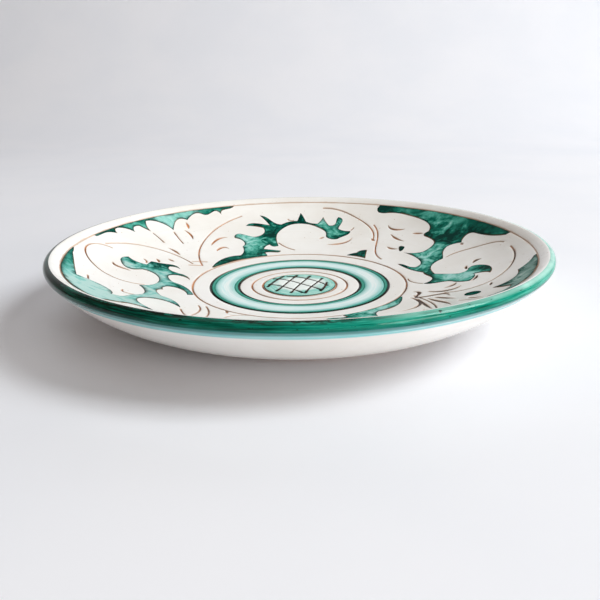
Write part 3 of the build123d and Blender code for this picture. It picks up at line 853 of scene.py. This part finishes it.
# The glaze, the slot and the tone of each painted piece.
LEAF_LOOK = {
    "back_leaf": (leaf_green, "leaf_green", 0.5),
    "front_leaf": (leaf_green, "leaf_green", 0.42),
    "right_leaf": (leaf_green, "leaf_green", 0.4),
    "left_leaf": (leaf_aqua, "leaf_aqua", 0.62),
    "back_spray": (leaf_green, "leaf_green", 0.58),
    "front_spray": (spray_grey, "spray_grey_green", 0.45),
    "leaf_bud": (leaf_green, "leaf_green", 0.3),
    "leaf_touch": (leaf_green, "leaf_green", 0.2),
    "berry": (leaf_green, "leaf_green", 0.3),
}
for node, (look, slot, base_tone) in LEAF_LOOK.items():
    flat, faces, dist = sheet_from(node, *LEAF_MESH)
    tone = np.full(len(flat), base_tone)
    for x, y, reach, move in POOLS[node]:
        tone += move * np.exp(-((flat[:, 0] - x) ** 2 + (flat[:, 1] - y) ** 2) / reach**2)
    lift = LEAF_COAT * (1 - np.exp(-((dist + 0.12) / 0.42) ** 2))
    attributes = [("edge_mm", np.minimum(dist, FAR_IN)), ("tone", np.clip(tone, 0, 1))]
    coat = closed_coat(node + "_glaze", flat, faces, lift, 0.0, attributes)
    show(coat, look, node)


# For each band: slot, body, thin and deep colours, and how many mm from the edge it is deep.
BANDS = {
    "band_wash": ("pale_aqua_wash", srgb(206, 236, 236), srgb(238, 246, 244), srgb(106, 190, 182), 3.6),
    "band_inner_edge": ("line_green", srgb(58, 150, 130), srgb(96, 178, 162), srgb(22, 98, 82), 1.0),
    "band_outer_edge": ("line_green", srgb(58, 150, 130), srgb(96, 178, 162), srgb(22, 98, 82), 1.0),
    "medallion_wash": ("turquoise_wash", srgb(108, 196, 182), srgb(186, 226, 216), srgb(40, 126, 108), 0.8),
}
for node, (slot, body, thin, deep, deep_from) in BANDS.items():
    flat, faces, dist = sheet_from(node, *BAND_MESH)
    lift = BAND_COAT * (1 - np.exp(-((dist + 0.12) / 0.4) ** 2))
    attributes = [("edge_mm", np.minimum(dist, FAR_IN))]
    coat = closed_coat(node + "_glaze", flat, faces, lift, 0.0, attributes)
    glaze = band_glaze(node, body, thin, deep, deep_from, node == "medallion_wash")
    show(coat, glaze, node)


# ---------------------------------------------------------------- studio
def studio_floor():
    """A pale sweep: flat under the plate, curving up behind it."""
    front, back, height, bend_r = -3.0, 1.5, 1.6, 0.6
    line = [(front, 0.0), (back - bend_r, 0.0)]
    for k in range(1, 13):
        a = k / 12 * math.pi / 2
        line.append((back - bend_r + bend_r * math.sin(a), bend_r - bend_r * math.cos(a)))
    line.append((back, height))
    co = []
    for x in (-3.5, 3.5):
        for y, z in line:
            co.append((x / MM, y / MM, z / MM))
    n = len(line)
    floor_faces = [(k, n + k, n + k + 1, k + 1) for k in range(n - 1)]
    ob = new_object("studio_sweep", co, floor_faces)
    m = Mat("studio_paper")
    paper = m.noise(6.0, 3.0, 0.5)
    colour = m.mix(m.range(paper, 0.3, 0.7), srgb(244, 244, 248), srgb(240, 241, 246))
    ob.data.materials.append(m.finish(colour, 0.7, spec=0.2))


def area_light(name, place, aim, size, power, colour):
    data = bpy.data.lights.new(name, "AREA")
    data.shape = "RECTANGLE"
    data.size, data.size_y = size
    data.energy = power
    data.color = colour
    ob = bpy.data.objects.new(name, data)
    ob.location = place
    ob.rotation_euler = (Vector(aim) - Vector(place)).to_track_quat("-Z", "Y").to_euler()
    bpy.context.scene.collection.objects.link(ob)


studio_floor()
area_light("window", (2.7, -0.45, 2.48), (0, 0, 0.02), (1.4, 1.4), 98.0, (0.93, 0.98, 1.0))
area_light("overhead", (-0.2, 0.1, 1.6), (0, 0, 0), (1.6, 1.4), 6.0, (0.96, 0.985, 1.0))
area_light("far_window", (1.3, 0.9, 1.0), (0, 0, 0.02), (0.9, 0.7), 1.8, (0.94, 0.98, 1.0))
area_light("front_fill", (0.85, -0.9, 0.3), (0, 0, 0.02), (0.6, 0.4), 7.0, (1.0, 0.97, 0.94))

world = bpy.data.worlds.new("studio")
bpy.context.scene.world = world
world.use_nodes = True
world.node_tree.nodes["Background"].inputs[0].default_value = (1.0, 0.76, 0.60, 1.0)
world.node_tree.nodes["Background"].inputs[1].default_value = 0.13

camera_data = bpy.data.cameras.new("camera")
camera_data.lens = 39.0
camera_data.sensor_width = 36.0
camera = bpy.data.objects.new("camera", camera_data)
camera.location = (0.0, -0.35568, 0.12251)
camera.rotation_euler = tuple(math.radians(a) for a in (71.2254, 0.7730, -0.2718))
bpy.context.scene.collection.objects.link(camera)
bpy.context.scene.camera = camera
bpy.context.scene.view_settings.view_transform = "Standard"
